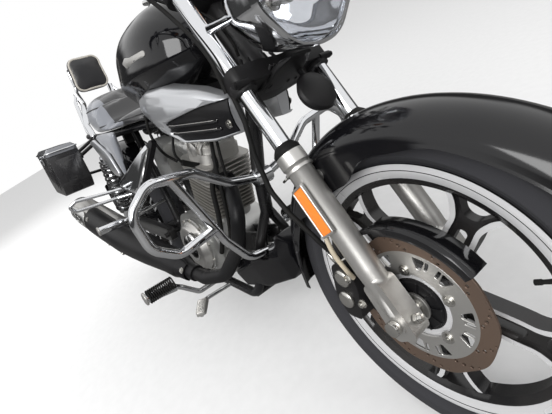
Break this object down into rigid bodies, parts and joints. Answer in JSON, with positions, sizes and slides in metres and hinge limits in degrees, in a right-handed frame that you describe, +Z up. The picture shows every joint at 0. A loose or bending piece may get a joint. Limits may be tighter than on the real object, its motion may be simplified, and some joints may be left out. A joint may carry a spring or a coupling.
{
  "type": "cruiser motorcycle",
  "caption": "Light air-cooled cruiser motorcycle with cast wheels, shrouded tank, stepped seat with backrest and hard lidded saddlebags, leaning on its side stand.",
  "frame": {"origin": "on the ground midway between the two axles, in the upright bike's middle plane where it meets the ground", "axes": "+X forward along the wheelbase, +Y to the rider's left, +Z up; the bike leans towards +Y on its side stand"},
  "size_m": [2.0756, 0.9716, 1.3324],
  "materials": {
    "tyre_rubber": "moulded rubber, dull",
    "wheel_black": "gloss black with machined edges",
    "gloss_black": "deep gloss black paint",
    "frame_black": "gloss black enamel",
    "silver_paint": "metallic silver paint",
    "chrome": "bright plating",
    "aluminium": "cast and satin",
    "cast_alloy": "sand-cast, light grey",
    "steel": "machined",
    "exhaust_black": "heat-proof satin black",
    "black_plastic": "moulded, satin",
    "case_plastic": "moulded, gloss black",
    "rubber": "soft rubber",
    "seat_cover": "grained black covering",
    "lens_clear": "clear lens",
    "lens_red": "red lens",
    "lens_amber": "amber lens"
  },
  "bodies": {
    "chassis": {"frame": "frame_black", "swingarm": "frame_black", "rear_shocks": "chrome", "chain": "steel", "rear_axle": "chrome", "crankcase": "cast_alloy", "engine_covers": "aluminium", "cylinder": "cast_alloy", "cylinder_head": "cast_alloy", "carburettor": "aluminium", "exhaust_pipe": "exhaust_black", "muffler": "aluminium", "fuel_tank": "gloss_black", "tank_console": "chrome", "shrouds": "silver_paint", "shroud_grilles": "black_plastic", "side_covers": "chrome", "side_panels": "silver_paint", "rider_seat": "seat_cover", "passenger_seat": "seat_cover", "backrest_pad": "seat_cover", "backrest_frame": "chrome", "rear_fender": "gloss_black", "rear_lamps": "lens_red", "engine_guard": "chrome", "foot_controls": "chrome", "belly_pan": "black_plastic", "bag_right": "case_plastic", "bag_left": "case_plastic", "bag_guards": "chrome"},
    "steering": {"fork_sliders": "aluminium", "fork_tubes": "chrome", "fork_clamps": "frame_black", "front_axle": "chrome", "front_fender": "gloss_black", "headlamp_shell": "gloss_black", "headlamp_lens": "lens_clear", "instrument": "chrome", "handlebar": "chrome", "hand_controls": "black_plastic", "mirrors": "gloss_black", "brake_caliper": "aluminium", "disc_guard": "gloss_black", "brake_hose": "rubber", "front_indicators": "lens_amber"},
    "front_wheel": {"front_wheel": "wheel_black", "front_tyre": "tyre_rubber", "brake_disc": "steel"},
    "rear_wheel": {"rear_wheel": "wheel_black", "rear_tyre": "tyre_rubber", "rear_sprocket": "steel"},
    "side_stand": {"side_stand": "frame_black"},
    "lid_right": {"lid_right": "case_plastic"},
    "lid_left": {"lid_left": "case_plastic"}
  },
  "joints": [
    {"name": "steering", "type": "hinge", "parent": "chassis", "child": "steering", "pos_m": [0.41603, 0.15195, 0.71582], "axis": [-0.5, 0.1801, 0.8471], "range_deg": [-34, 34]},
    {"name": "front_wheel_spin", "type": "hinge", "parent": "steering", "child": "front_wheel", "pos_m": [0.715, 0.063, 0.29734], "axis": [0, 0.9781, -0.2079], "continuous": true},
    {"name": "rear_wheel_spin", "type": "hinge", "parent": "chassis", "child": "rear_wheel", "pos_m": [-0.715, 0.06154, 0.29049], "axis": [0, 0.9781, -0.2079], "continuous": true},
    {"name": "side_stand_swing", "type": "hinge", "parent": "chassis", "child": "side_stand", "pos_m": [-0.062, 0.16008, 0.16731], "axis": [0, 0.9934, 0.1149], "range_deg": [0, 96]},
    {"name": "lid_right_hinge", "type": "hinge", "parent": "chassis", "child": "lid_right", "pos_m": [-0.705, -0.05702, 0.7139], "axis": [-1, 0, 0], "range_deg": [0, 70]},
    {"name": "lid_left_hinge", "type": "hinge", "parent": "chassis", "child": "lid_left", "pos_m": [-0.705, 0.34207, 0.62907], "axis": [1, 0, 0], "range_deg": [0, 70]}
  ]
}
